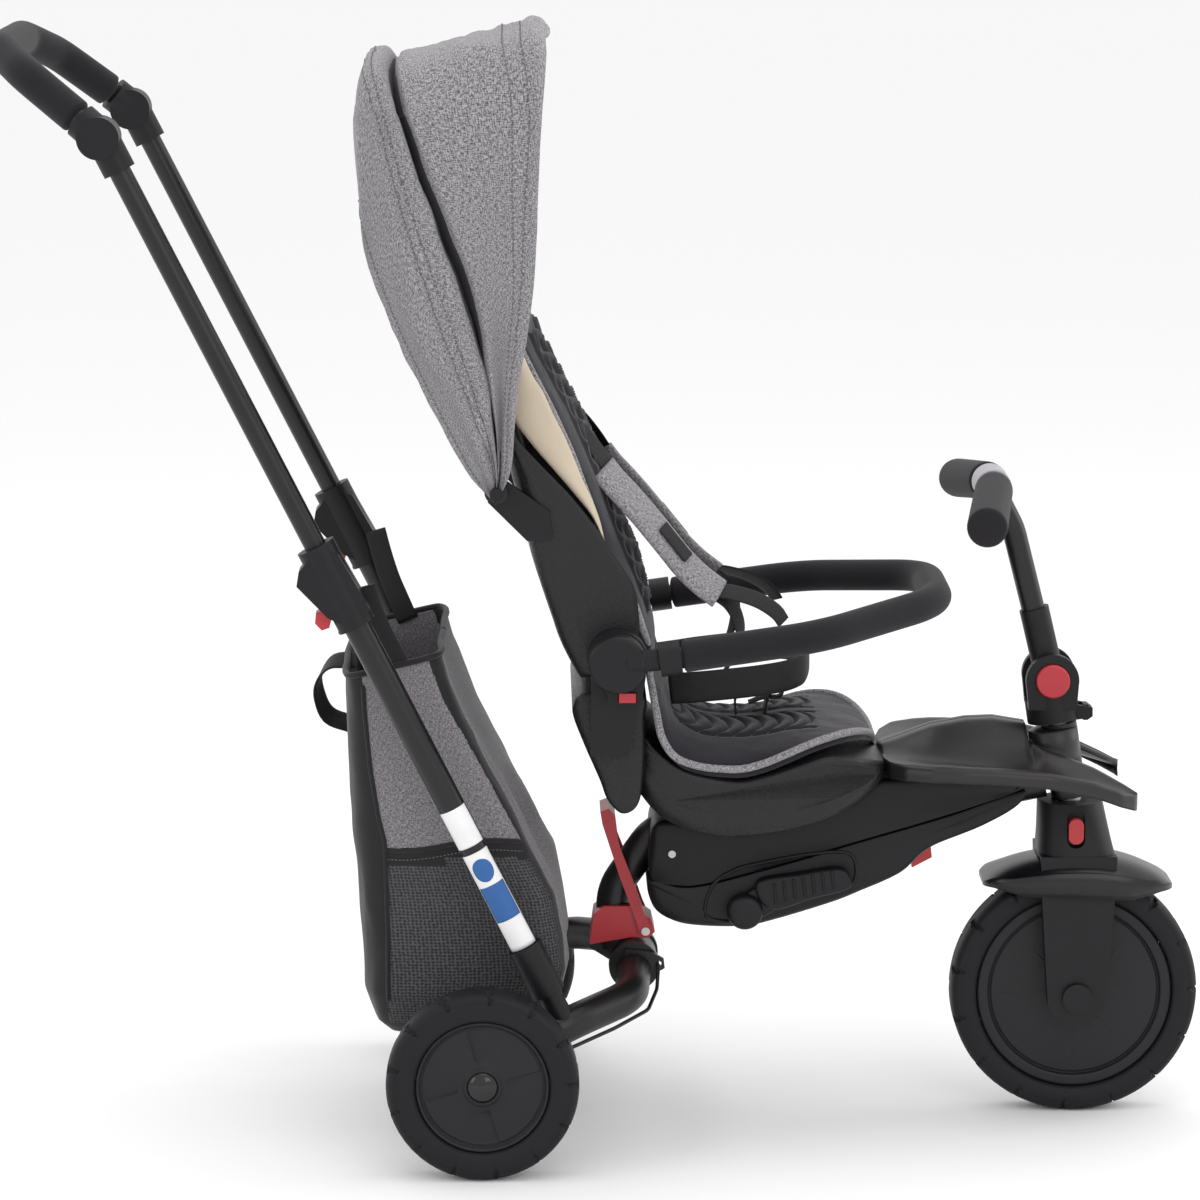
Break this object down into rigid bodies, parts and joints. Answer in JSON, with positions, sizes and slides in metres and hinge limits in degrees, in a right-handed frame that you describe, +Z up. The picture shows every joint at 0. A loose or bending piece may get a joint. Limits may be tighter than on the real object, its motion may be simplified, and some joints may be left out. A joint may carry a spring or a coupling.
{
  "type": "folding child's tricycle",
  "caption": "Folding child's tricycle with hooded padded seat, safety bar, footrest, telescoping push handle, storage bag and steerable front wheel.",
  "frame": {"origin": "on the floor under the middle of the whole tricycle", "axes": "+X forward, +Y to the child's left, +Z up"},
  "size_m": [1.1275, 0.505, 1.034],
  "materials": {
    "fabric_melange": "heather woven polyester",
    "fabric_dark": "quilted polyester",
    "fabric_cream": "smooth woven polyester",
    "foam": "soft closed-cell foam",
    "black_plastic": "fine moulded grain",
    "speckled_plastic": "fine moulded grain",
    "wheel_plastic": "satin moulded",
    "tyre_foam": "matt",
    "red_plastic": "satin moulded",
    "black_steel": "satin powder coat",
    "bare_steel": "machined",
    "silver_plastic": "satin",
    "cable_jacket": "smooth"
  },
  "bodies": {
    "chassis": {"main_frame": "black_steel", "head_bushes": "black_plastic", "body_upper_shell": "black_plastic", "body_lower_shell": "black_plastic", "chassis_fasteners": "bare_steel", "latch_collar": "red_plastic", "footrest": "black_plastic", "seat_pan": "speckled_plastic", "seat_cushion": "fabric_dark", "seat_back_lower": "speckled_plastic", "side_brackets": "black_plastic", "lap_straps": "fabric_dark", "crotch_buckle": "black_plastic"},
    "rear_frame": {"rear_tubes": "black_steel", "rear_axles": "bare_steel", "lower_tubes": "black_steel", "tube_housings": "black_plastic", "storage_bag": "fabric_dark", "brake_cable": "cable_jacket"},
    "rear_wheel_left": {"rear_tyre_left": "tyre_foam", "rear_rim_left": "wheel_plastic"},
    "rear_wheel_right": {"rear_tyre_right": "tyre_foam", "rear_rim_right": "wheel_plastic"},
    "push_handle": {"upper_tubes": "black_steel", "handle_knuckles": "black_plastic", "handle_grip": "foam"},
    "trigger_left": {"trigger_left": "red_plastic"},
    "trigger_right": {"trigger_right": "red_plastic"},
    "fold_lever": {"fold_lever": "red_plastic"},
    "steering": {"fork": "black_plastic", "fender": "black_plastic", "front_axle": "bare_steel", "steering_tube": "bare_steel", "stem_yoke": "black_plastic"},
    "front_wheel": {"front_tyre": "tyre_foam", "front_rim": "wheel_plastic"},
    "clutch_slider": {"clutch_slider": "red_plastic"},
    "fold_button": {"fold_button": "red_plastic"},
    "stem_latch": {"stem_latch": "black_plastic"},
    "handlebar": {"handlebar_hinge": "black_plastic", "handlebar_tube": "black_steel", "handlebar_clamp": "silver_plastic", "handlebar_grips": "foam"},
    "safety_bar": {"bar_tube": "black_steel", "bar_foam": "foam", "bar_arms": "black_plastic"},
    "bar_button_left": {"bar_button_left": "red_plastic"},
    "bar_button_right": {"bar_button_right": "red_plastic"},
    "backrest": {"backrest_shell": "black_plastic", "backrest_cushion": "fabric_dark", "side_panels": "fabric_cream", "canopy_brackets": "black_plastic", "canopy_hood": "fabric_melange", "shoulder_pads": "fabric_melange", "harness_webbing": "fabric_dark"},
    "canopy_bow": {"canopy_front_bow": "black_steel"},
    "pedal_left": {"pedal_left": "black_plastic"},
    "pedal_right": {"pedal_right": "black_plastic"},
    "release_tab": {"release_tab": "red_plastic"}
  },
  "joints": [
    {"name": "frame_fold", "type": "hinge", "parent": "chassis", "child": "rear_frame", "pos_m": [0.026, 0, 0.148], "axis": [0, 1, 0], "range_deg": [0, 28], "deforming": ["storage_bag"]},
    {"name": "rear_wheel_left", "type": "hinge", "parent": "rear_frame", "child": "rear_wheel_left", "pos_m": [-0.116, 0.225, 0.088], "axis": [0, 1, 0], "continuous": true},
    {"name": "rear_wheel_right", "type": "hinge", "parent": "rear_frame", "child": "rear_wheel_right", "pos_m": [-0.116, -0.225, 0.088], "axis": [0, 1, 0], "continuous": true},
    {"name": "handle_telescope", "type": "slide", "parent": "rear_frame", "child": "push_handle", "axis": [-0.4501, 0, 0.893], "range_m": [-0.25, 0]},
    {"name": "trigger_left", "type": "slide", "parent": "rear_frame", "child": "trigger_left", "axis": [0.893, 0, 0.45], "range_m": [0, 0.002], "stiffness_N_per_m": 300},
    {"name": "trigger_right", "type": "slide", "parent": "rear_frame", "child": "trigger_right", "axis": [0.893, 0, 0.45], "range_m": [0, 0.002], "stiffness_N_per_m": 300},
    {"name": "fold_lever", "type": "hinge", "parent": "chassis", "child": "fold_lever", "pos_m": [0.037, 0, 0.18], "axis": [0, 1, 0], "range_deg": [-35, 0]},
    {"name": "steering", "type": "hinge", "parent": "chassis", "child": "steering", "pos_m": [0.439, 0, 0.31], "axis": [-0.1564, 0, 0.9877], "range_deg": [-38, 38]},
    {"name": "front_wheel", "type": "hinge", "parent": "steering", "child": "front_wheel", "pos_m": [0.446, 0, 0.1175], "axis": [0, 1, 0], "continuous": true},
    {"name": "clutch_slider", "type": "slide", "parent": "steering", "child": "clutch_slider", "axis": [0, 0, 1], "range_m": [0, 0.006]},
    {"name": "fold_button", "type": "slide", "parent": "steering", "child": "fold_button", "axis": [0, 1, 0], "range_m": [0, 0.003], "stiffness_N_per_m": 300},
    {"name": "stem_latch", "type": "slide", "parent": "steering", "child": "stem_latch", "axis": [-1, 0, 0], "range_m": [0, 0.002], "stiffness_N_per_m": 300},
    {"name": "handlebar_fold", "type": "hinge", "parent": "steering", "child": "handlebar", "pos_m": [0.42, 0, 0.42], "axis": [0, 1, 0], "range_deg": [0, 90]},
    {"name": "safety_bar", "type": "hinge", "parent": "chassis", "child": "safety_bar", "pos_m": [0.008, 0, 0.464], "axis": [0, 1, 0], "range_deg": [-80, 0]},
    {"name": "bar_button_left", "type": "slide", "parent": "chassis", "child": "bar_button_left", "axis": [0, -1, 0], "range_m": [0, 0.003], "stiffness_N_per_m": 300},
    {"name": "bar_button_right", "type": "slide", "parent": "chassis", "child": "bar_button_right", "axis": [0, 1, 0], "range_m": [0, 0.003], "stiffness_N_per_m": 300},
    {"name": "backrest_recline", "type": "hinge", "parent": "chassis", "child": "backrest", "pos_m": [0.008, 0, 0.464], "axis": [0, 1, 0], "range_deg": [-12, 0]},
    {"name": "canopy_fold", "type": "hinge", "parent": "backrest", "child": "canopy_bow", "pos_m": [-0.102, 0, 0.618], "axis": [0, 1, 0], "range_deg": [-18, 0], "deforming": ["canopy_hood"]},
    {"name": "pedal_left", "type": "slide", "parent": "chassis", "child": "pedal_left", "axis": [0, 1, 0], "range_m": [0, 0.06]},
    {"name": "pedal_right", "type": "slide", "parent": "chassis", "child": "pedal_right", "axis": [0, -1, 0], "range_m": [0, 0.06]},
    {"name": "release_tab", "type": "slide", "parent": "chassis", "child": "release_tab", "axis": [0, 0, -1], "range_m": [0, 0.004], "stiffness_N_per_m": 300}
  ]
}
